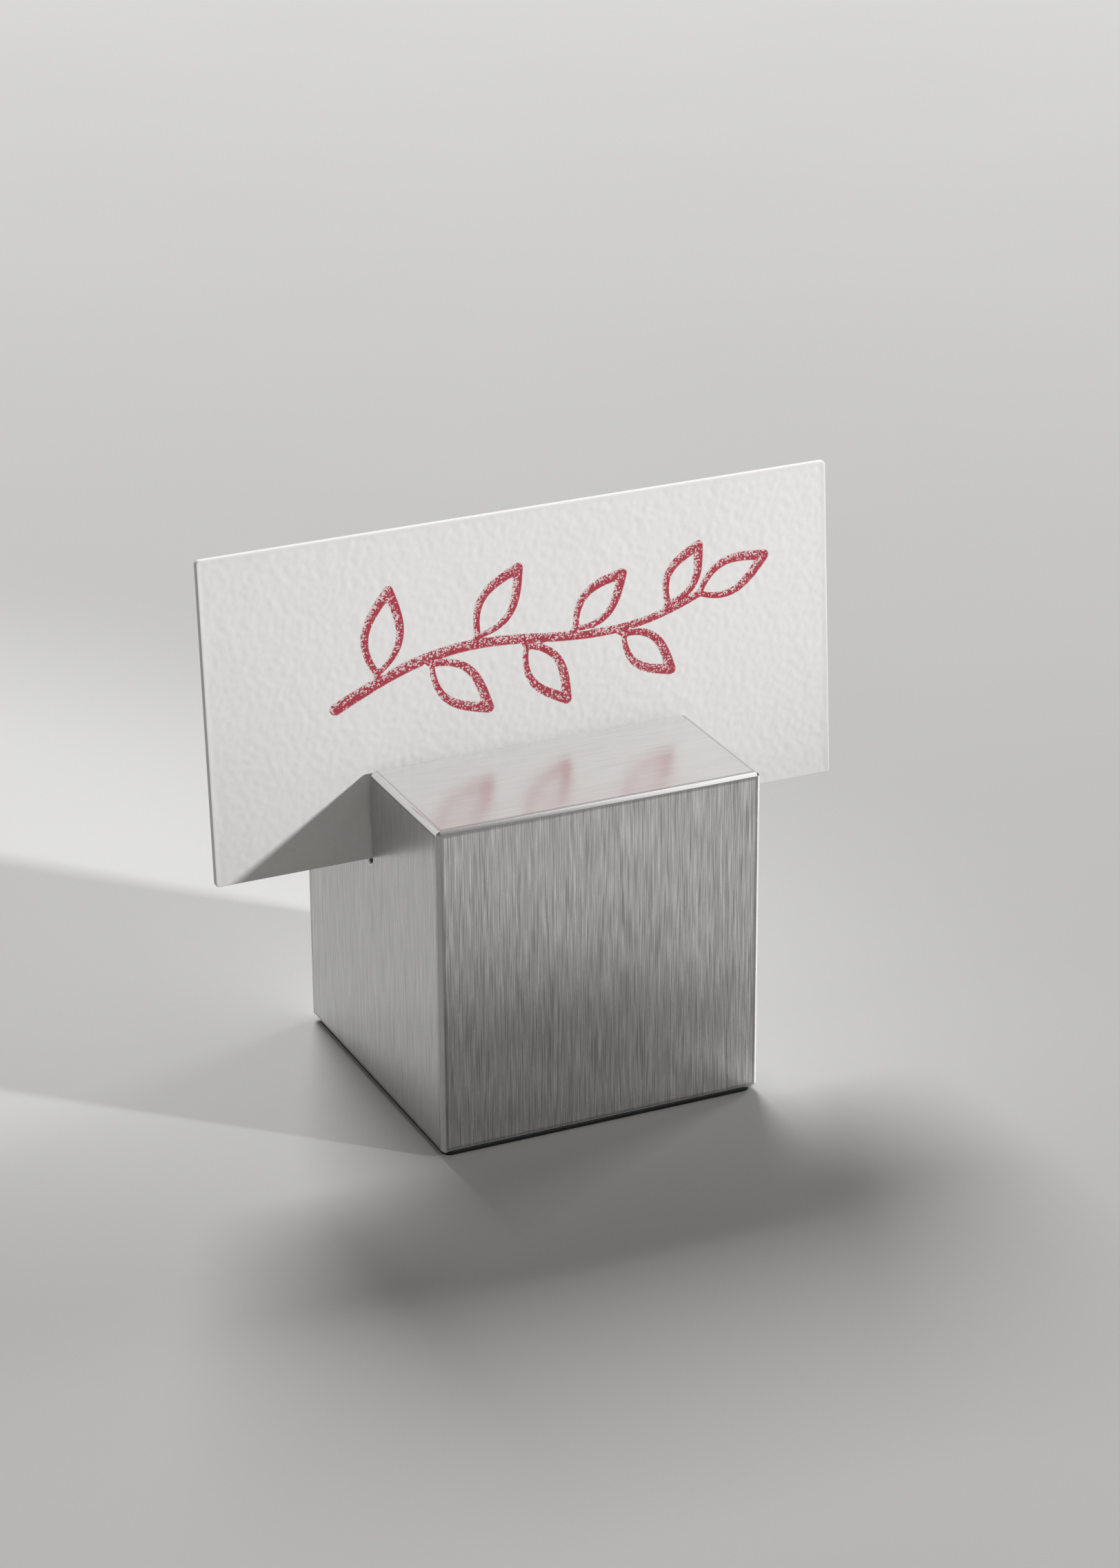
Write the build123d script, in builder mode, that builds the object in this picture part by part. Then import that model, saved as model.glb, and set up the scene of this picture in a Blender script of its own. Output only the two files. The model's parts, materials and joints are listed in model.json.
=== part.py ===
from build123d import *
import os
from math import atan2, cos, degrees, sin

# A place card holder: a brushed steel cube with a slot across its top, in which a heavy paper card
# stands and leans back a little. A thin rubber pad is glued under the cube.
# Millimetres. The origin is on the table under the middle of the cube, +Z is up,
# +X runs along the slot, and -Y is the side that the card's front faces.

# Steel cube
cube_width = 40.0
cube_depth = 40.0
cube_height = 40.0
edge_chamfer = 0.45

# Slot, open at both ends and at the top, with a round bottom
slot_width = 1.6
slot_depth = 11.7
slot_edge_break = 0.15

# Paper card
card_width = 78.0
card_height = 38.5
card_thickness = 0.8
card_corner_radius = 0.4
card_clearance = 0.05

# Rubber pad and the glue film that holds it under the cube
pad_margin = 0.1
pad_corner_radius = 1.0
pad_thickness = 0.4
film_thickness = 0.1

# Heights above the table
film_bottom = pad_thickness
cube_bottom = film_bottom + film_thickness
cube_top = cube_bottom + cube_height
slot_round_center = cube_top - slot_depth + slot_width / 2

# The pad keeps a margin inside the flat of the cube's underside, which ends at the chamfers
pad_width = cube_width - 2 * (edge_chamfer + pad_margin)
pad_depth = cube_depth - 2 * (edge_chamfer + pad_margin)

# The card's lower front edge stands where the slot's front wall meets its round bottom, and the
# card leans back until it meets the edge of the rear wall.
card_foot_y = card_clearance - slot_width / 2
card_foot_z = slot_round_center + card_clearance
lean_room = slot_width - card_thickness - 2 * card_clearance
lean_height = cube_top - slot_edge_break - card_foot_z
card_lean = atan2(lean_room, lean_height)
card_front = Plane(
    origin=(0, card_foot_y, card_foot_z),
    x_dir=(1, 0, 0),
    z_dir=(0, -cos(card_lean), sin(card_lean)),
)

os.makedirs("parts", exist_ok=True)

# Rubber pad that the holder stands on
with BuildPart() as base_pad:
    with BuildSketch():
        RectangleRounded(pad_width, pad_depth, pad_corner_radius)
    extrude(amount=pad_thickness)
base_pad.part.label = "base_pad"
export_step(base_pad.part, "parts/base_pad.step")

# Glue film, cut with the pad
with BuildPart() as pad_film:
    with BuildSketch(Plane.XY.offset(film_bottom)):
        RectangleRounded(pad_width, pad_depth, pad_corner_radius)
    extrude(amount=film_thickness)
pad_film.part.label = "pad_film"
export_step(pad_film.part, "parts/pad_film.step")

# Steel cube: bevelled all round, then slotted from side to side, then the slot's rim is broken.
# The one block is kept as a foot and two jaws, each convex, so that the slot is open to collision.
with BuildPart() as steel_cube:
    with BuildSketch(Plane.XY.offset(cube_bottom)):
        Rectangle(cube_width, cube_depth)
    extrude(amount=cube_height)
    chamfer(steel_cube.edges(), length=edge_chamfer)
    with BuildSketch(Plane.YZ.offset(-cube_width / 2)):
        with Locations((0, cube_top)):
            SlotOverall(2 * slot_depth, slot_width, rotation=90)
    extrude(amount=cube_width, mode=Mode.SUBTRACT)
    slot_edges = steel_cube.edges(Select.LAST)
    wall_seams = slot_edges.filter_by(Axis.X).filter_by_position(
        Axis.Z, cube_bottom, cube_top, (False, False)
    )
    chamfer(slot_edges - wall_seams, length=slot_edge_break)
    split(bisect_by=Plane.XY.offset(slot_round_center), keep=Keep.BOTH)
steel_cube.part.label = "steel_cube"
export_step(steel_cube.part, "parts/steel_cube.step")

# Paper card, drawn on its own front face
with BuildPart() as place_card:
    with BuildSketch(card_front):
        RectangleRounded(card_width, card_height, card_corner_radius, align=(Align.CENTER, Align.MIN))
    extrude(amount=-card_thickness)
place_card.part.label = "place_card"
export_step(place_card.part, "parts/place_card.step")

print(f"card leans back {degrees(card_lean):.2f} degrees")
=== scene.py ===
import json
from math import atan2, cos, pi, radians, sin

import bmesh
import bpy
import numpy as np
from bpy.props import FloatProperty, FloatVectorProperty, IntProperty, PointerProperty
from mathutils import Matrix, Vector, kdtree, noise


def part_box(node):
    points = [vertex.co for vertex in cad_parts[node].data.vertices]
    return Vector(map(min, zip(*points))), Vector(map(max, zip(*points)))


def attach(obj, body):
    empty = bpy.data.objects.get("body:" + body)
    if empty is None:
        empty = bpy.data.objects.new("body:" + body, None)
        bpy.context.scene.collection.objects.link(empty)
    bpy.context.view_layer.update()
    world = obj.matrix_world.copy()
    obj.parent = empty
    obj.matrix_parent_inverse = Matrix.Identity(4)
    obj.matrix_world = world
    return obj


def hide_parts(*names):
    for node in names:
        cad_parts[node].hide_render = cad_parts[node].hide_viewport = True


bl_info = {
    "name": "Place card holder",
    "version": (1, 0, 0),
    "blender": (4, 5, 0),
    "location": "View3D > Sidebar > Card holder",
    "description": "Dresses a steel place card holder: brushed block, paper card, rubber pad, studio",
    "category": "Object",
}

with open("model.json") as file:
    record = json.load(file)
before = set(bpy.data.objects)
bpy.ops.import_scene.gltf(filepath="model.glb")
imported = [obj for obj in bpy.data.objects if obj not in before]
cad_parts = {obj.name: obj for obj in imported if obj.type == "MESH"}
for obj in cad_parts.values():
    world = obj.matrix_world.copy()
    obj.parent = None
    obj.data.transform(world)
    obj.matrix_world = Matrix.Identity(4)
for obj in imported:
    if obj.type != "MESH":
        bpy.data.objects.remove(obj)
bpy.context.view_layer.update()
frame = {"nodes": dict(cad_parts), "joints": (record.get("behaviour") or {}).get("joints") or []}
MM = 0.001


# Sizes and colours that a user would change

class SteelLook(bpy.types.PropertyGroup):
    """The brushed steel block"""

    colour: FloatVectorProperty(
        name="Steel", description="Mean colour of the brushed faces", subtype="COLOR",
        default=(0.60, 0.60, 0.60), min=0, max=1)
    contrast: FloatProperty(
        name="Grain contrast", description="How far the brushed lines depart from the mean colour",
        subtype="FACTOR", default=0.42, min=0, max=1)
    grain_width: FloatProperty(
        name="Grain width", description="Width of the finer brushed lines", unit="LENGTH",
        default=0.08 * MM, min=0.02 * MM, precision=6)
    grain_length: FloatProperty(
        name="Grain length", description="Length of a brushed line", unit="LENGTH",
        default=4.5 * MM, min=0.5 * MM, precision=6)
    drift: FloatProperty(
        name="Grain drift", description="How far the brushed lines wander to the side", unit="LENGTH",
        default=0.4 * MM, min=0, precision=6)
    roughness: FloatProperty(
        name="Roughness", description="Mean roughness of the brushed faces", subtype="FACTOR",
        default=0.30, min=0, max=1)
    waviness: FloatProperty(
        name="Waviness", description="Depth of the slight waves that the brushing leaves", unit="LENGTH",
        default=0.06 * MM, min=0, precision=6)
    edge_softening: FloatProperty(
        name="Edge softening", description="Width of the rounding between a chamfer and a face",
        unit="LENGTH", default=0.05 * MM, min=0.01 * MM, precision=6)


class CardLook(bpy.types.PropertyGroup):
    """The paper card and the crayon sprig on it"""

    paper: FloatVectorProperty(
        name="Paper", description="Colour of the card", subtype="COLOR",
        default=(0.80, 0.795, 0.785), min=0, max=1)
    tooth_height: FloatProperty(
        name="Tooth height", description="Depth of the hollows in the paper", unit="LENGTH",
        default=0.11 * MM, min=0, precision=6)
    tooth_pitch: FloatProperty(
        name="Tooth pitch", description="Distance from one rise of the paper to the next", unit="LENGTH",
        default=0.68 * MM, min=0.2 * MM, precision=6)
    edge_rounding: FloatProperty(
        name="Edge rounding", description="Radius along the cut edges", unit="LENGTH",
        default=0.12 * MM, min=0.02 * MM, precision=6)
    corner_radius: FloatProperty(
        name="Corner radius", description="Radius of the four corners", unit="LENGTH",
        default=0.4 * MM, min=0.15 * MM, precision=6)
    mesh_step: FloatProperty(
        name="Mesh step", description="Spacing of the mesh that carries the tooth", unit="LENGTH",
        default=0.26 * MM, min=0.1 * MM, precision=6)
    wax: FloatVectorProperty(
        name="Crayon", description="Colour of the crayon where it lies thick", subtype="COLOR",
        default=(0.38, 0.05, 0.072), min=0, max=1)
    stroke_width: FloatProperty(
        name="Stroke width", description="Width of a crayon stroke", unit="LENGTH",
        default=1.25 * MM, min=0.2 * MM, precision=6)
    grain_size: FloatProperty(
        name="Crayon grain", description="Size of the grains of wax", unit="LENGTH",
        default=0.15 * MM, min=0.05 * MM, precision=6)
    leaves: IntProperty(
        name="Leaves", description="Leaves along the sprig's stem, besides the one at its tip",
        default=7, min=1, max=12)


class PadLook(bpy.types.PropertyGroup):
    """The rubber pad and its glue film"""

    rubber: FloatVectorProperty(
        name="Rubber", description="Colour of the pad", subtype="COLOR",
        default=(0.018, 0.018, 0.02), min=0, max=1)
    film: FloatVectorProperty(
        name="Film", description="Colour of the glue film", subtype="COLOR",
        default=(0.14, 0.145, 0.15), min=0, max=1)


class StageLook(bpy.types.PropertyGroup):
    """The floor, the lamps and the light of the room"""

    floor: FloatVectorProperty(
        name="Floor", description="Colour of the floor", subtype="COLOR",
        default=(0.61, 0.61, 0.605), min=0, max=1)
    sky: FloatVectorProperty(
        name="Room light", description="Even light from all round", subtype="COLOR",
        default=(0.155, 0.148, 0.138), min=0, max=1)
    side_lamp: FloatProperty(
        name="Side lamp", description="Lamp on the right, a little behind the card", unit="POWER",
        default=2.5, min=0)
    card_lamp: FloatProperty(
        name="Card lamp", description="Narrow lamp in front on the right that lights the card",
        unit="POWER", default=58.5, min=0)
    back_lamp: FloatProperty(
        name="Back lamp", description="Large lamp behind that lights the floor and the card's back",
        unit="POWER", default=47.0, min=0)
    edge_lamp: FloatProperty(
        name="Edge lamp", description="Weak lamp up in front that the upper edges mirror", unit="POWER",
        default=0.14, min=0)


# Shader nodes

# Where a Mix node keeps its factor, its two colours and its mixed colour
MIX_SHARE = 0
MIX_FIRST = 6
MIX_SECOND = 7
MIX_RESULT = 2


class Socket:
    """An output of a finish's nodes. Arithmetic with numbers and other sockets adds Math nodes."""

    def __init__(self, finish, output):
        self.finish = finish
        self.output = output

    def math(self, operation, first, second=0.0):
        return self.finish.node("ShaderNodeMath", {"operation": operation}, {0: first, 1: second})

    def __add__(self, other):
        return self.math("ADD", self, other)

    def __sub__(self, other):
        return self.math("SUBTRACT", self, other)

    def __rsub__(self, other):
        return self.math("SUBTRACT", other, self)

    def __mul__(self, other):
        return self.math("MULTIPLY", self, other)

    def __floordiv__(self, other):
        return self.math("FLOOR", self.math("DIVIDE", self, other))

    def __rfloordiv__(self, other):
        return self.math("FLOOR", self.math("DIVIDE", other, self))

    def __abs__(self):
        return self.math("ABSOLUTE", self)

    __radd__ = __add__
    __rmul__ = __mul__


class Finish:
    """A new material: its nodes, and the Principled shader that they feed."""

    def __init__(self, name, **constants):
        self.material = bpy.data.materials.new(name)
        self.material.use_nodes = True
        self.tree = self.material.node_tree
        self.shader = self.tree.nodes["Principled BSDF"]
        self.place = self.node("ShaderNodeTexCoord", output="Object")
        self.surface(**constants)

    def node(self, kind, settings=None, inputs=None, output=0):
        """Adds a node, sets it up, then fills its sockets with values or links."""
        node = self.tree.nodes.new(kind)
        for key, value in (settings or {}).items():
            setattr(node, key, value)
        for key, value in (inputs or {}).items():
            self.fill(node.inputs[key], value)
        return Socket(self, node.outputs[output])

    def fill(self, socket, value):
        if isinstance(value, Socket):
            self.tree.links.new(value.output, socket)
        else:
            socket.default_value = value

    def surface(self, **sockets):
        """Fills the shader's sockets: base_color is Base Color."""
        for key, value in sockets.items():
            label = key.replace("_", " ").title().replace("Ior", "IOR")
            self.fill(self.shader.inputs[label], value)

    def stretched(self, along_x, along_y, along_z):
        """Object coordinates in units of the three given lengths."""
        return self.node("ShaderNodeVectorMath", {"operation": "MULTIPLY"},
                         {0: self.place, 1: (1 / along_x, 1 / along_y, 1 / along_z)})

    def scaled(self, length):
        """Object coordinates in units of one length."""
        return self.stretched(length, length, length)

    def noise(self, place, detail=3.0, roughness=0.5):
        return self.node("ShaderNodeTexNoise", {"noise_dimensions": "3D"},
                         {"Vector": place, "Scale": 1.0, "Detail": detail, "Roughness": roughness})

    def spread(self, value, low, high, to_low=0.0, to_high=1.0):
        """Takes low..high smoothly to to_low..to_high."""
        return self.node("ShaderNodeMapRange", {"interpolation_type": "SMOOTHSTEP"},
                         {0: value, 1: low, 2: high, 3: to_low, 4: to_high})

    def mix(self, share, first, second):
        """A colour from first, at share 0, to second, at share 1."""
        inputs = {MIX_SHARE: share, MIX_FIRST: opaque(first), MIX_SECOND: opaque(second)}
        return self.node("ShaderNodeMix", {"data_type": "RGBA"}, inputs, MIX_RESULT)

    def mottle(self, share, colour, by):
        """The colour, from darker at share 0 to lighter at share 1, by the given part of itself."""
        return self.mix(share, shade(colour, 1 - by), shade(colour, 1 + by))

    def bump(self, height, depth, strength=1.0):
        """Relief of the given depth, in metres, that leads to the shader's normal."""
        relief = {"Height": height, "Distance": depth, "Strength": strength}
        self.surface(normal=self.node("ShaderNodeBump", None, relief))


def opaque(colour):
    return colour if isinstance(colour, Socket) else (*colour, 1.0)


def shade(colour, by):
    return tuple(min(1.0, channel * by) for channel in colour)


# Steel block

WELD_DISTANCE = 0.002 * MM
HEIGHT_SLACK = 0.01 * MM
FLAT_ANGLE = radians(0.5)
SHARP_ANGLE = radians(25)

# The slot's faces lie this near to the block's middle, this far in from its bottom and from its top
SLOT_REACH = 1.2 * MM
SLOT_BOTTOM_INSET = 1 * MM
SLOT_TOP_INSET = 0.2 * MM

# What a face's unit normal says of it: level from this z on, flat from this part along one axis on, the
# slanted rim of the slot from this x on, the block's side from this x on, an upright corner below this z
LEVEL = 0.999
FLAT = 0.99
SLANTED = 0.5
SIDEWAYS = 0.9
UPRIGHT = 0.1


def welded_block():
    """The CAD block's solids as one closed mesh, without the faces where they meet."""
    low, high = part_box("steel_cube")
    block = bmesh.new()
    block.from_mesh(frame["nodes"]["steel_cube"].data)
    bmesh.ops.remove_doubles(block, verts=block.verts, dist=WELD_DISTANCE)
    heights = {face: face.calc_center_median().z for face in block.faces if abs(face.normal.z) > LEVEL}
    level = {face: z for face, z in heights.items() if low.z + MM < z < high.z - MM}
    meeting_height = max(level.values())
    inner = [face for face, z in level.items() if abs(z - meeting_height) < HEIGHT_SLACK]
    bmesh.ops.delete(block, geom=inner, context="FACES")
    bmesh.ops.remove_doubles(block, verts=block.verts, dist=WELD_DISTANCE)
    bmesh.ops.dissolve_limit(block, angle_limit=FLAT_ANGLE, verts=block.verts, edges=block.edges)
    loose = [edge for edge in block.edges if len(edge.link_faces) != 2]
    if loose:
        raise RuntimeError(f"the block isn't closed: {len(loose)} open edges")
    return block


def chamfer_width(block, high):
    """Width of the block's chamfers, read from the flat of its top."""
    corners = [vertex.co for face in block.faces if face.normal.z > LEVEL for vertex in face.verts]
    flat = max(abs(corner.x) for corner in corners if corner.z > high.z - HEIGHT_SLACK)
    return high.x - flat


def steel_face_kind(face, low, high):
    """Which of the block's finishes a face takes: front, side, top, edge, corner, slot or slot_rim."""
    middle = face.calc_center_median()
    normal = face.normal
    at_slot_height = low.z + SLOT_BOTTOM_INSET < middle.z < high.z - SLOT_TOP_INSET
    if abs(middle.y) < SLOT_REACH and at_slot_height and abs(normal.x) < SIDEWAYS:
        return "slot" if abs(normal.x) < SLANTED else "slot_rim"
    for kind, share in (("side", normal.x), ("front", normal.y), ("top", normal.z)):
        if abs(share) > FLAT:
            return kind
    return "corner" if abs(normal.z) < UPRIGHT else "edge"


WAVE_WIDTH = 0.8 * MM
WAVE_LENGTH = 5 * MM
DRIFT_WIDTH = 3 * MM
DRIFT_LENGTH = 16 * MM

# The sides' lines are finer than the front's by this factor
SIDE_FINENESS = 1.37

# Marks are coarser lines: their width and length in units of the finer lines, the random numbers at
# which a bright or a dark mark starts to show and shows in full, and the strength of each kind of line
MARK_WIDTH = 1.6
MARK_LENGTH = 1.3
BRIGHT_FROM = 0.2
BRIGHT_FULL = 0.03
BRIGHT_STRENGTH = 0.5
DARK_FROM = 0.8
DARK_FULL = 0.97
DARK_STRENGTH = 0.55
FINE_STRENGTH = 0.9

# Darker lines are rougher and lighter ones smoother: this sets by how much
GRAIN_ROUGHNESS = 0.25

# Width and darkness of the painted shade along each face's border with the chamfers
PAINTED_SHADE_BORDER_WIDTH = 0.35 * MM
PAINTED_SHADE_BORDER_TONE = 0.3


class BrushedSteel(Finish):
    """Brushed steel. grain is the axis that the lines run along and share their part of the full contrast.
    The face's tone lightens or darkens its copy of the same steel: painted light and shade."""

    def __init__(self, name, look, grain, share, tone, smoothing=1.0, **constants):
        super().__init__(name, **{"metallic": 1.0, **constants})
        contrast = look.contrast * share
        self.grain = grain
        # Painted light and shade: the face's lighter or darker copy of the steel
        self.colour = shade(look.colour, tone)
        x, y, z = (self.node("ShaderNodeSeparateXYZ", None, {0: self.place}, axis) for axis in range(3))
        self.axes = {"x": x, "y": y, "z": z}
        across, self.along = (x + SIDE_FINENESS * y, z) if grain == "z" else (y + z, x)
        drift = self.noise(self.drawn_out(DRIFT_WIDTH, DRIFT_LENGTH), detail=1.0)
        self.across = across + look.drift * (drift - 0.5)
        fine, fine_taper = self.hairs(look.grain_width, look.grain_length)
        mark, mark_taper = self.hairs(MARK_WIDTH * look.grain_width, MARK_LENGTH * look.grain_length)
        bright = BRIGHT_STRENGTH * self.spread(mark, BRIGHT_FROM, BRIGHT_FULL)
        dark = DARK_STRENGTH * self.spread(mark, DARK_FROM, DARK_FULL)
        light = 0.5 + FINE_STRENGTH * fine_taper * (fine - 0.5) + mark_taper * (bright - dark)
        self.brushed = self.mottle(light, self.colour, contrast)
        roughness = look.roughness * smoothing + GRAIN_ROUGHNESS * contrast * (0.5 - light)
        self.surface(base_color=self.brushed, roughness=roughness)

    def drawn_out(self, width, length):
        """Object coordinates in units of width across the grain and of length along it."""
        return self.stretched(*(length if axis == self.grain else width for axis in "xyz"))

    def hairs(self, width, length):
        """A random number for each short line of the brush, and a taper, 1 at the line's middle."""
        column = self.across // width
        start = self.node("ShaderNodeTexWhiteNoise", {"noise_dimensions": "1D"}, {"W": column})
        place = self.along * (1 / length) + start
        row = place // 1.0
        share = place - row
        cell = self.node("ShaderNodeCombineXYZ", None, {0: column, 1: row})
        pick = self.node("ShaderNodeTexWhiteNoise", {"noise_dimensions": "2D"}, {"Vector": cell})
        return pick, 4 * share * (1 - share)

    def waves(self, depth):
        """Shallow waves, drawn out along the grain, that make the mirrored floor ragged."""
        self.bump(self.noise(self.drawn_out(WAVE_WIDTH, WAVE_LENGTH), detail=1.0), depth)

    def rim(self, middle, reach, axes, strength):
        """Paints shade on a border round the face, where it meets the chamfers: a darker line that stands
        in for the dark reflection there.
        """
        inner = 1.0
        for axis in axes:
            edge = getattr(reach, axis)
            place = abs(self.axes[axis] - getattr(middle, axis))
            inner = inner * (1 - self.spread(place, edge - PAINTED_SHADE_BORDER_WIDTH, edge))
        # Painted shade: the border takes a darker copy of the face's colour
        painted_shade_colour = shade(self.colour, PAINTED_SHADE_BORDER_TONE)
        self.surface(base_color=self.mix(strength * (1 - inner), self.brushed, painted_shade_colour))


def steel_finishes(look, low, high, chamfer):
    """The block's materials, by the kind of face that takes them."""
    # Painted light and shade: the tones give the front, top and chamfers lighter copies of the steel than
    # the sides, the chamfers' as painted highlight, the slot's inside a darker copy as painted shade, and
    # its rim a lighter one as a painted glint
    finishes = {
        "front": BrushedSteel("brushed_front", look, grain="z", share=1.0, tone=1.5, anisotropic=0.8),
        "side": BrushedSteel("brushed_side", look, grain="z", share=0.4, tone=1.1, anisotropic=0.5),
        "top": BrushedSteel("brushed_top", look, grain="x", share=0.15, tone=1.42,
                            smoothing=0.75, metallic=0.7),
        "edge": BrushedSteel("ground_edge", look, grain="x", share=0.1, tone=1.4, smoothing=0.5),
        "corner": BrushedSteel("ground_corner", look, grain="z", share=0.1, tone=1.65,
                               smoothing=1.65, anisotropic=1.0, anisotropic_rotation=0.25),
        "slot": BrushedSteel("milled_slot", look, grain="x", share=0.5, tone=0.7),
        "slot_rim": BrushedSteel("filed_slot_rim", look, grain="x", share=0.1, tone=1.6, smoothing=1.35),
    }
    middle = (low + high) / 2
    reach = (high - low) / 2 - Vector((chamfer, chamfer, chamfer))
    finishes["front"].waves(look.waviness)
    finishes["side"].waves(look.waviness / 2)
    finishes["top"].waves(look.waviness / 3)
    # Painted shade: each face gets a darker border along its chamfers
    finishes["front"].rim(middle, reach, axes="xz", strength=0.6)
    finishes["side"].rim(middle, reach, axes="yz", strength=0.4)
    finishes["top"].rim(middle, reach, axes="xy", strength=0.5)
    return {kind: finish.material for kind, finish in finishes.items()}


class CARDHOLDER_OT_steel_block(bpy.types.Operator):
    """Makes the brushed steel block in place of its CAD solids"""

    bl_idname = "card_holder.steel_block"
    bl_label = "Steel block"

    def execute(self, context):
        look = context.scene.steel_look
        low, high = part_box("steel_cube")
        block = welded_block()
        chamfer = chamfer_width(block, high)
        sharp = [edge for edge in block.edges if edge.calc_face_angle() > SHARP_ANGLE]
        bmesh.ops.bevel(block, geom=sharp, offset=look.edge_softening, offset_type="OFFSET", segments=2,
                        profile=0.5, affect="EDGES", clamp_overlap=True)
        block.normal_update()
        finishes = steel_finishes(look, low, high, chamfer)
        order = list(finishes)
        for face in block.faces:
            face.smooth = True
            face.material_index = order.index(steel_face_kind(face, low, high))
        mesh = bpy.data.meshes.new("brushed_block")
        block.to_mesh(mesh)
        block.free()
        for material in finishes.values():
            mesh.materials.append(material)
        piece = add_piece("brushed_block", mesh, "holder", "steel_cube")
        piece.modifiers.new("flat_faces_stay_flat", "WEIGHTED_NORMAL").keep_sharp = True
        return {"FINISHED"}


def add_piece(name, mesh, body, replaced, matrix=None):
    """Adds a piece that moves with a CAD body and stands for a CAD node."""
    piece = bpy.data.objects.new(name, mesh)
    bpy.context.scene.collection.objects.link(piece)
    if matrix is not None:
        piece.matrix_world = matrix
    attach(piece, body)
    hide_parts(replaced)
    return piece


# Paper card

class CardShape:
    """The card's own frame and size, read from its CAD solid and the way that it lifts."""

    def __init__(self):
        low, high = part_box("place_card")
        across = Vector((1, 0, 0))
        up = Vector(frame["joints"][0]["axis"]).normalized()
        front = across.cross(up)
        lean_sin = up.y
        lean_cos = up.z
        depth = high.y - low.y
        rise = high.z - low.z
        slant = lean_cos ** 2 - lean_sin ** 2
        self.width = high.x - low.x
        self.height = (rise * lean_cos - depth * lean_sin) / slant
        self.thickness = (depth * lean_cos - rise * lean_sin) / slant
        foot = Vector(((low.x + high.x) / 2, low.y, low.z + self.thickness * lean_sin))
        self.matrix = Matrix((across, up, front)).transposed().to_4x4()
        self.matrix.translation = foot


# Stands for no length where one is divided by
NO_LENGTH = 1e-12


def rounded_plan(across, up, half_width, half_height, radius):
    """Takes points of a square, -1 to 1, to a rectangle with round corners."""
    x = across * half_width
    y = up * half_height
    past_x = np.abs(x) - (half_width - radius)
    past_y = np.abs(y) - (half_height - radius)
    corner = (past_x > 0) & (past_y > 0)
    square = np.maximum(past_x, past_y)
    squeeze = np.where(corner, square / np.maximum(np.hypot(past_x, past_y), NO_LENGTH), 1.0)
    x = np.where(corner, np.sign(x) * (half_width - radius + past_x * squeeze), x)
    y = np.where(corner, np.sign(y) * (half_height - radius + past_y * squeeze), y)
    return x, y


# The fine tooth has this many rises to one of the coarse tooth, and this part of its height. Their sum is
# cut off where it passes the reach. Each tooth and each face of the card has its own layer of the noise.
FINE_TOOTH = 2.1
FINE_TOOTH_HEIGHT = 0.6
TOOTH_REACH = 1.2
FINE_LAYER = 3.1
FACE_LAYER = 7.3


def paper_tooth(x, y, side, look):
    """How far each point lies below the paper's highest rise, from 0 to 1."""
    pitch = look.tooth_pitch
    fine_pitch = pitch / FINE_TOOTH
    layer = FACE_LAYER * side
    hollow = np.empty(len(x))
    for i, (px, py) in enumerate(zip(x, y)):
        coarse = noise.noise((px / pitch, py / pitch, layer))
        fine = noise.noise((px / fine_pitch, py / fine_pitch, FINE_LAYER + layer))
        hollow[i] = 0.5 - 0.5 * (coarse + FINE_TOOTH_HEIGHT * fine) / TOOTH_REACH
    return np.clip(hollow, 0, 1)


# The tooth fades out over this distance to the card's edges, which turn in these steps
EDGE_FADE = 0.4 * MM
EDGE_TURNS = (radians(30), radians(60), radians(90))


def card_mesh(shape, look):
    """The card as one closed mesh, its faces rough with the paper's tooth and its edges rounded."""
    columns = round(shape.width / look.mesh_step)
    rows = round(shape.height / look.mesh_step)
    across, up = np.meshgrid(np.linspace(-1, 1, columns + 1), np.linspace(-1, 1, rows + 1))
    grid = np.arange((columns + 1) * (rows + 1)).reshape(rows + 1, columns + 1)
    rim = np.concatenate([grid[0, :-1], grid[:-1, -1], grid[-1, :0:-1], grid[:0:-1, 0]])
    quads = np.stack([grid[:-1, :-1], grid[:-1, 1:], grid[1:, 1:], grid[1:, :-1]], -1).reshape(-1, 4)
    across = across.ravel()
    up = up.ravel()
    radius = look.edge_rounding

    def layer(a, b, inset, depth):
        half_width = shape.width / 2 - inset
        half_height = shape.height / 2 - inset
        x, y = rounded_plan(a, b, half_width, half_height, look.corner_radius - inset)
        return np.stack([x, y + shape.height / 2, np.full_like(x, -depth)], -1)

    front_bends = [(radius - radius * sin(turn), radius - radius * cos(turn)) for turn in EDGE_TURNS]
    back_bends = [(inset, shape.thickness - depth) for inset, depth in reversed(front_bends)]
    front = layer(across, up, radius, 0.0)
    back = layer(across, up, radius, shape.thickness)
    to_edge = np.minimum((1 - np.abs(across)) * shape.width, (1 - np.abs(up)) * shape.height) / 2
    edge_fade = np.clip(to_edge / EDGE_FADE, 0, 1)
    for side, face in ((1, front), (-1, back)):
        hollow = paper_tooth(face[:, 0], face[:, 1], side, look)
        face[:, 2] -= side * look.tooth_height * hollow * edge_fade
    bends = [layer(across[rim], up[rim], inset, depth) for inset, depth in front_bends + back_bends]
    points = np.concatenate([front, *bends, back])
    rings = [rim] + [len(front) + len(rim) * k + np.arange(len(rim)) for k in range(len(bends))]
    back_start = len(points) - len(back)
    rings.append(rim + back_start)
    strips = [np.stack([a, b, np.roll(b, -1), np.roll(a, -1)], -1) for a, b in zip(rings, rings[1:])]
    faces = np.concatenate([quads, *strips, quads[:, ::-1] + back_start])
    mesh = bpy.data.meshes.new("paper_card")
    mesh.from_pydata(points.tolist(), [], faces.tolist())
    mesh.polygons.foreach_set("use_smooth", np.ones(len(mesh.polygons), bool))
    return mesh, len(front)


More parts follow.
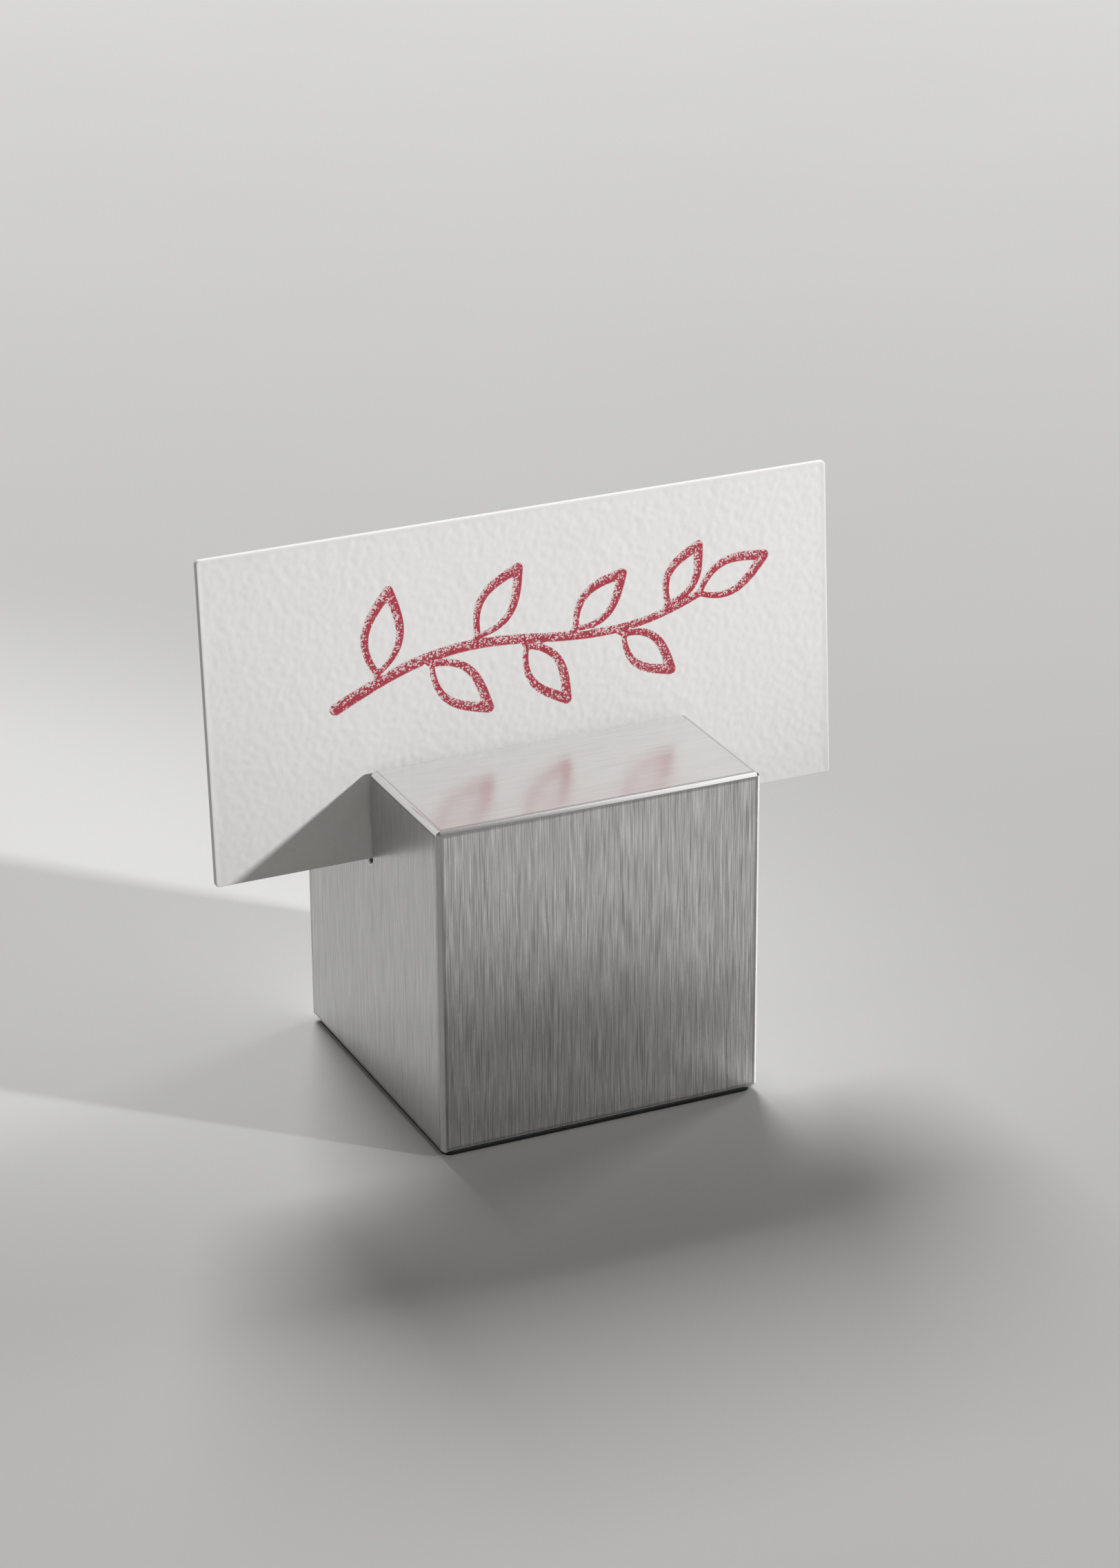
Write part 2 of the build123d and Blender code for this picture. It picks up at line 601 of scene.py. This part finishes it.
# The sprig is measured from the middle of the card's lower edge. Places along the stem go from 0 to 1, and
# widths are in units of the crayon's stroke, first at the end nearer to the root, then at the other end.
STEM_START = Vector((-23.5, 18.6)) * MM
STEM_RUN = Vector((51.0, 8.6)) * MM
STEM_SWAY = 2.3 * MM
STEM_END = 0.9
STEM_POINTS = 180
STEM_WIDTHS = (1.25, 0.75)
HEADING_STEP = 0.01
FIRST_LEAF = 0.10
LEAF_ROOM = 0.826
STALK_LENGTH = 1.2 * MM
STALK_WIDTHS = (0.8, 0.7)
LEAF_POINTS = 40
LEAF_OUT_WIDTHS = (0.65, 1.1)
LEAF_HOME_WIDTHS = (0.55, 1.1)

# Below 1, a leaf is widest nearer to its base
LEAF_BELLY = 0.85

# The first leaf's angle to the stem, in degrees, and its size, what each next leaf loses, and the tip
LEAF_ANGLE = 58
LEAF_ANGLE_LOSS = 2.5
LEAF_LENGTH = 9.6 * MM
LEAF_LENGTH_LOSS = 0.35 * MM
LEAF_WIDTH = 4.3 * MM
LEAF_WIDTH_LOSS = 0.12 * MM
TIP_LENGTH = 9.0 * MM
TIP_WIDTH = 3.8 * MM


def between(ends, share):
    return ends[0] + (ends[1] - ends[0]) * share


def sprig_strokes(look):
    """Crayon strokes of a leafy sprig: lists of points on the card's front, each with its width."""
    thick = look.stroke_width

    def stem(place):
        return STEM_START + STEM_RUN * place + Vector((0, STEM_SWAY * sin(2 * pi * place)))

    def heading(place):
        step = stem(place + HEADING_STEP) - stem(place - HEADING_STEP)
        return atan2(step.y, step.x)

    def leaf(base, angle, length, width):
        axis = Vector((cos(angle), sin(angle)))
        side = Vector((-axis.y, axis.x))
        shares = [k / LEAF_POINTS for k in range(LEAF_POINTS + 1)]

        def edge(share, sign):
            bulge = width / 2 * sin(pi * share ** LEAF_BELLY)
            return base + axis * length * share + side * sign * bulge

        out = [(edge(share, 1), thick * between(LEAF_OUT_WIDTHS, share)) for share in shares]
        home = [(edge(share, -1), thick * between(LEAF_HOME_WIDTHS, share)) for share in reversed(shares)]
        return out + home

    shares = [k / STEM_POINTS for k in range(STEM_POINTS + 1)]
    strokes = [[(stem(STEM_END * share), thick * between(STEM_WIDTHS, share)) for share in shares]]
    for k in range(look.leaves):
        place = FIRST_LEAF + LEAF_ROOM * k / look.leaves
        side = 1 if k % 2 == 0 else -1
        angle = heading(place) + side * radians(LEAF_ANGLE - LEAF_ANGLE_LOSS * k)
        base = stem(place) + Vector((cos(angle), sin(angle))) * STALK_LENGTH
        length = LEAF_LENGTH - LEAF_LENGTH_LOSS * k
        width = LEAF_WIDTH - LEAF_WIDTH_LOSS * k
        strokes.append([(stem(place), thick * STALK_WIDTHS[0]), (base, thick * STALK_WIDTHS[1])])
        strokes.append(leaf(base, angle, length, width))
    strokes.append(leaf(stem(STEM_END), heading(STEM_END), TIP_LENGTH, TIP_WIDTH))
    return strokes


# The crayon was held so that it bore on the lower right of its strokes
PRESSED_SIDE = Vector((0.8, -0.6))
STROKE_SPACING = 0.08 * MM


def mark_with_wax(mesh, front_count, look):
    """Writes how deep each point lies in a stroke, 1 on its middle line, 0 at its edge and -1 far off,
    and how far it lies to the pressed side, from -1 to 1 in the stroke."""
    points = []
    widths = []
    for stroke in sprig_strokes(look):
        for (start, start_width), (end, end_width) in zip(stroke, stroke[1:]):
            count = max(1, round((end - start).length / STROKE_SPACING))
            points += [start.lerp(end, k / count) for k in range(count)]
            widths += [between((start_width, end_width), k / count) for k in range(count)]
    tree = kdtree.KDTree(len(points))
    for i, point in enumerate(points):
        tree.insert((point.x, point.y, 0), i)
    tree.balance()
    depths = np.full(len(mesh.vertices), -1.0, np.float32)
    leans = np.zeros(len(mesh.vertices), np.float32)
    for vertex in mesh.vertices[:front_count]:
        x, y, _ = vertex.co
        middle, nearest, distance = tree.find((x, y, 0))
        half = widths[nearest] / 2
        depths[vertex.index] = max(-1.0, 1 - distance / half)
        leans[vertex.index] = (vertex.co - middle).xy.dot(PRESSED_SIDE) / half
    mesh.attributes.new("wax_depth", "FLOAT", "POINT").data.foreach_set("value", depths)
    mesh.attributes.new("wax_lean", "FLOAT", "POINT").data.foreach_set("value", leans)


CLOUD_SIZE = 9 * MM
FIBRE_SIZES = (0.16 * MM, 0.24 * MM, 0.2 * MM)
FIBRE_ROUGHNESS = 0.6
PAPER_MOTTLE = 0.04
PAPER_ROUGHNESS = 0.88
PAPER_RELIEF = 0.02 * MM

# Parts of the mottling that are cloud and fibre, and parts of the relief that are fibre and wax
MOTTLE_CLOUD = 0.6
MOTTLE_FIBRE = 0.4
RELIEF_FIBRE = 0.6
RELIEF_WAX = 0.4

# The part of the grains that hold wax, on the side where the crayon hardly bore and where it bore most
FEW_GRAINS = 0.3
MOST_GRAINS = 0.95

# The leans at which those two are reached, and the depths between which a stroke's edge comes up
LEAN_AWAY = -1.0
LEAN_PRESSED = 0.6
EDGE_FROM = -0.05
EDGE_FULL = 0.2

# How softly a grain ends, the tint between the grains, the tone of thin wax, and how much smoother wax is
GRAIN_SOFTNESS = 0.06
TINT = 0.25
THIN_WAX = 1.3
WAX_SMOOTHING = 0.3


def paper_finish(look):
    """Heavy paper with wax crayon that covers it grain by grain."""
    finish = Finish("card_paper", specular_ior_level=0.25)
    cloud = finish.noise(finish.scaled(CLOUD_SIZE))
    fibre = finish.noise(finish.stretched(*FIBRE_SIZES), roughness=FIBRE_ROUGHNESS)
    cells = finish.node("ShaderNodeTexVoronoi", {"voronoi_dimensions": "3D"},
                        {"Vector": finish.scaled(look.grain_size), "Scale": 1.0}, "Color")
    chance = finish.node("ShaderNodeSeparateColor", None, {0: cells})
    depth = finish.node("ShaderNodeAttribute", {"attribute_name": "wax_depth"}, output="Fac")
    lean = finish.node("ShaderNodeAttribute", {"attribute_name": "wax_lean"}, output="Fac")
    share = finish.spread(lean, LEAN_AWAY, LEAN_PRESSED, FEW_GRAINS, MOST_GRAINS)
    grains = finish.spread(share - chance, -GRAIN_SOFTNESS, GRAIN_SOFTNESS, TINT, 1.0)
    cover = finish.spread(depth, EDGE_FROM, EDGE_FULL) * grains
    paper = finish.mottle(cloud * MOTTLE_CLOUD + fibre * MOTTLE_FIBRE, look.paper, PAPER_MOTTLE)
    wax = finish.mix(chance, look.wax, shade(look.wax, THIN_WAX))
    finish.surface(base_color=finish.mix(cover, paper, wax),
                   roughness=PAPER_ROUGHNESS - WAX_SMOOTHING * cover)
    finish.bump(fibre * RELIEF_FIBRE + cover * RELIEF_WAX, PAPER_RELIEF, strength=0.5)
    return finish.material


class CARDHOLDER_OT_paper_card(bpy.types.Operator):
    """Makes the paper card with its tooth and crayon sprig in place of its CAD solid"""

    bl_idname = "card_holder.paper_card"
    bl_label = "Paper card"

    def execute(self, context):
        look = context.scene.card_look
        shape = CardShape()
        mesh, front_count = card_mesh(shape, look)
        mark_with_wax(mesh, front_count, look)
        mesh.materials.append(paper_finish(look))
        add_piece("paper_card", mesh, "card", "place_card", shape.matrix)
        return {"FINISHED"}


# Pad and film

SPECK_SIZE = 0.3 * MM
SPECK_ROUGHNESS = 0.6
SPECK_RELIEF = 0.02 * MM
DUST_SIZE = 4 * MM
DUST_FROM = 0.5
DUST_FULL = 0.8
DUSTY_TONE = 2.2
RUBBER_ROUGHNESS = 0.62
FILM_CLOUD_SIZE = 1.5 * MM
FILM_MOTTLE = 0.25
FILM_ROUGHNESS = 0.3
FILM_RELIEF = 0.01 * MM

# What the specks and the cloud add to the roughness at most
ROUGHNESS_RANGE = 0.2


def rubber_finish(look):
    """Matt rubber, finely grained and a little dusty."""
    finish = Finish("rubber_pad", specular_ior_level=0.4)
    speck = finish.noise(finish.scaled(SPECK_SIZE), roughness=SPECK_ROUGHNESS)
    dust = finish.spread(finish.noise(finish.scaled(DUST_SIZE)), DUST_FROM, DUST_FULL)
    dusty = shade(look.rubber, DUSTY_TONE)
    finish.surface(base_color=finish.mix(speck * 0.5 + dust * 0.5, look.rubber, dusty),
                   roughness=RUBBER_ROUGHNESS + ROUGHNESS_RANGE * speck)
    finish.bump(speck, SPECK_RELIEF, strength=0.5)
    return finish.material


def film_finish(look):
    """Cloudy glue film."""
    finish = Finish("glue_film")
    cloud = finish.noise(finish.scaled(FILM_CLOUD_SIZE))
    finish.surface(base_color=finish.mottle(cloud, look.film, FILM_MOTTLE),
                   roughness=FILM_ROUGHNESS + ROUGHNESS_RANGE * cloud)
    finish.bump(cloud, FILM_RELIEF, strength=0.5)
    return finish.material


class CARDHOLDER_OT_pad(bpy.types.Operator):
    """Gives the rubber pad and its glue film their finishes"""

    bl_idname = "card_holder.pad"
    bl_label = "Rubber pad"

    def execute(self, context):
        look = context.scene.pad_look
        for node, material in (("base_pad", rubber_finish(look)), ("pad_film", film_finish(look))):
            mesh = frame["nodes"][node].data
            mesh.materials.clear()
            mesh.materials.append(material)
        return {"FINISHED"}


# Stage

FLOOR_SIDE = 8.0
FLOOR_CLOUD_SIZE = 60 * MM
FLOOR_MOTTLE = 0.02

# What the lamps point at, and how soft the spot's beam is at its edge
MIDDLE_OF_HOLDER = Vector((0, 0, 30)) * MM
BESIDE_HOLDER = Vector((69, 46, 40)) * MM
ABOVE_CARD = Vector((26, 0, 86)) * MM
BEAM_SOFTNESS = 0.6

# The photograph's size and focal length in pixels, and its camera's place, as fitted to it
PHOTO_SIZE = (1624, 2274)
FOCAL_PIXELS = 6502.0
CAMERA_TURN = radians(-24.43)
CAMERA_RISE = radians(23.36)
CAMERA_ROLL = radians(-0.376)
CAMERA_DISTANCE = 532.84 * MM
CAMERA_RIGHT = 3.432 * MM
CAMERA_UP = 31.604 * MM
NEAREST_SEEN = 0.01
FARTHEST_SEEN = 50.0


def floor_finish(look):
    """A plain matt floor, very faintly cloudy."""
    finish = Finish("plain_floor", specular_ior_level=0.1, roughness=0.7)
    cloud = finish.noise(finish.scaled(FLOOR_CLOUD_SIZE))
    finish.surface(base_color=finish.mottle(cloud, look.floor, FLOOR_MOTTLE))
    return finish.material


def hang(lamp, target, way, distance):
    """Puts a lamp into the scene, that way from target at the given distance and shining at it."""
    holder = bpy.data.objects.new(lamp.name, lamp)
    bpy.context.scene.collection.objects.link(holder)
    holder.location = target + way * distance
    holder.rotation_euler = way.to_track_quat("Z", "Y").to_euler()
    return holder


def soft_box(name, power, size):
    lamp = bpy.data.lights.new(name, "AREA")
    lamp.energy = power
    lamp.size = size
    return lamp


def narrow_spot(name, power, radius, beam):
    """A round lamp with a beam of so many degrees, soft in about its outer third."""
    lamp = bpy.data.lights.new(name, "SPOT")
    lamp.energy = power
    lamp.shadow_soft_size = radius
    lamp.spot_size = radians(beam)
    lamp.spot_blend = BEAM_SOFTNESS
    return lamp


def direction(turn, rise):
    """The way turn radians round from the right towards the back, and rise radians up."""
    return Vector((cos(turn) * cos(rise), sin(turn) * cos(rise), sin(rise)))


def lamp_way(turn, rise):
    """Direction to a lamp, with both angles in degrees."""
    return direction(radians(turn), radians(rise))


def photo_camera():
    """The camera that took the photograph, as fitted to the block's and the card's edges."""
    low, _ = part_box("steel_cube")
    back = direction(CAMERA_TURN - pi / 2, CAMERA_RISE)
    level = Vector((0, 0, 1)).cross(back).normalized()
    upright = back.cross(level)
    right = level * cos(CAMERA_ROLL) + upright * sin(CAMERA_ROLL)
    up = upright * cos(CAMERA_ROLL) - level * sin(CAMERA_ROLL)
    camera = bpy.data.objects.new("photo_camera", bpy.data.cameras.new("photo_camera"))
    camera.data.lens = FOCAL_PIXELS / max(PHOTO_SIZE) * camera.data.sensor_width
    camera.data.clip_start = NEAREST_SEEN
    camera.data.clip_end = FARTHEST_SEEN
    camera.matrix_world = Matrix((right, up, back)).transposed().to_4x4()
    camera.matrix_world.translation = (
        Vector((0, 0, low.z)) + back * CAMERA_DISTANCE + right * CAMERA_RIGHT + up * CAMERA_UP)
    bpy.context.scene.collection.objects.link(camera)
    bpy.context.scene.camera = camera


class CARDHOLDER_OT_stage(bpy.types.Operator):
    """Adds the floor, the lamps, the room light and the camera"""

    bl_idname = "card_holder.stage"
    bl_label = "Stage"

    def execute(self, context):
        look = context.scene.stage_look
        half = FLOOR_SIDE / 2
        corners = [(-half, -half, 0), (half, -half, 0), (half, half, 0), (-half, half, 0)]
        mesh = bpy.data.meshes.new("floor")
        mesh.from_pydata(corners, [], [(0, 1, 2, 3)])
        mesh.materials.append(floor_finish(look))
        floor = bpy.data.objects.new("floor", mesh)
        context.scene.collection.objects.link(floor)
        world = bpy.data.worlds.new("room")
        world.use_nodes = True
        world.node_tree.nodes["Background"].inputs["Color"].default_value = opaque(look.sky)
        context.scene.world = world
        hang(soft_box("side_lamp", look.side_lamp, size=0.3),
             MIDDLE_OF_HOLDER, lamp_way(turn=19, rise=27), distance=1.2)
        hang(soft_box("back_lamp", look.back_lamp, size=0.9),
             MIDDLE_OF_HOLDER, lamp_way(turn=80, rise=44), distance=2.4)
        hang(soft_box("edge_lamp", look.edge_lamp, size=0.2),
             BESIDE_HOLDER, lamp_way(turn=-46, rise=57), distance=0.7)
        card_lamp = hang(narrow_spot("card_lamp", look.card_lamp, radius=0.03, beam=8),
                         ABOVE_CARD, lamp_way(turn=-45, rise=23), distance=1.2)
        # From behind, the block's top would mirror this lamp as plain white when the card is lifted
        card_lamp.visible_glossy = False
        photo_camera()
        context.scene.view_settings.view_transform = "Standard"
        return {"FINISHED"}


class CARDHOLDER_PT_sidebar(bpy.types.Panel):
    """Lists the holder's pieces and looks"""

    bl_label = "Place card holder"
    bl_space_type = "VIEW_3D"
    bl_region_type = "UI"
    bl_category = "Card holder"

    def draw(self, context):
        for operator, look in STEPS:
            box = self.layout.box()
            box.operator(operator.bl_idname)
            for name in LOOKS[look].__annotations__:
                box.prop(getattr(context.scene, look), name)


LOOKS = {"steel_look": SteelLook, "card_look": CardLook, "pad_look": PadLook, "stage_look": StageLook}
STEPS = (
    (CARDHOLDER_OT_steel_block, "steel_look"),
    (CARDHOLDER_OT_paper_card, "card_look"),
    (CARDHOLDER_OT_pad, "pad_look"),
    (CARDHOLDER_OT_stage, "stage_look"),
)
CLASSES = (*LOOKS.values(), *(operator for operator, _ in STEPS), CARDHOLDER_PT_sidebar)


def register():
    for item in CLASSES:
        bpy.utils.register_class(item)
    for name, look in LOOKS.items():
        setattr(bpy.types.Scene, name, PointerProperty(type=look))


def unregister():
    for name in LOOKS:
        delattr(bpy.types.Scene, name)
    for item in reversed(CLASSES):
        bpy.utils.unregister_class(item)


def main():
    register()
    bpy.ops.card_holder.steel_block()
    bpy.ops.card_holder.paper_card()
    bpy.ops.card_holder.pad()
    bpy.ops.card_holder.stage()


if __name__ == "__main__":
    main()
